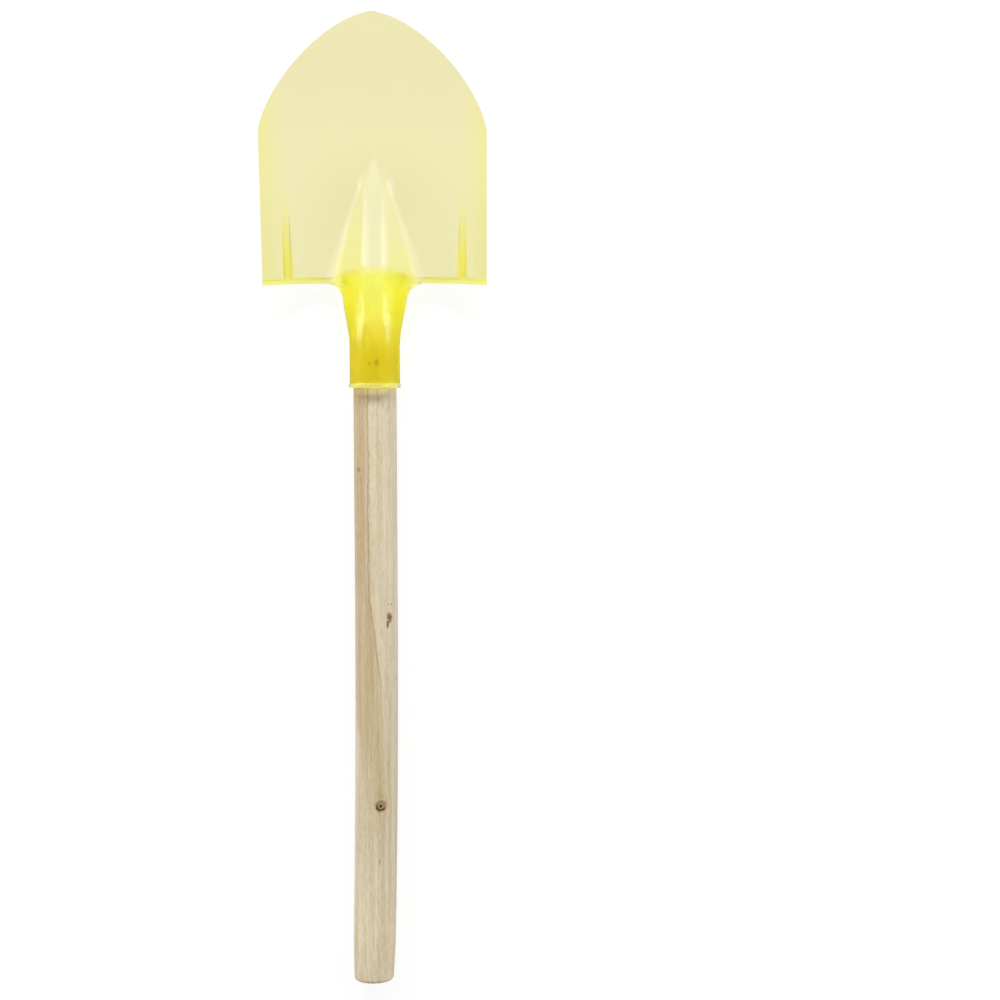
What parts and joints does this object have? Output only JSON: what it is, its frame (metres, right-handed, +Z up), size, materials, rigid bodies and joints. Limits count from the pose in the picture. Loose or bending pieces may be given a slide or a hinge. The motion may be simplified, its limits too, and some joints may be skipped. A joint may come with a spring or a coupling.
{
  "type": "sand shovel",
  "caption": "Toy sand shovel for digging and scooping: a clear yellow moulded head with a dished pointed blade, hollow ridge and round socket, on a straight wooden dowel handle.",
  "frame": {"origin": "centre of the bounding box's underside, on the surface that the shovel lies on", "axes": "+Y along the handle towards the blade's tip, +Z up out of the scoop's face, X across the blade"},
  "size_m": [0.1152, 0.4962, 0.027],
  "materials": {
    "clear_yellow_plastic": "clear, tinted yellow, gloss",
    "bare_wood": "bare, sanded",
    "screw_steel": "plated"
  },
  "bodies": {
    "root": {"shovel_head": "clear_yellow_plastic", "handle": "bare_wood", "fixing_screw": "screw_steel"}
  },
  "joints": []
}
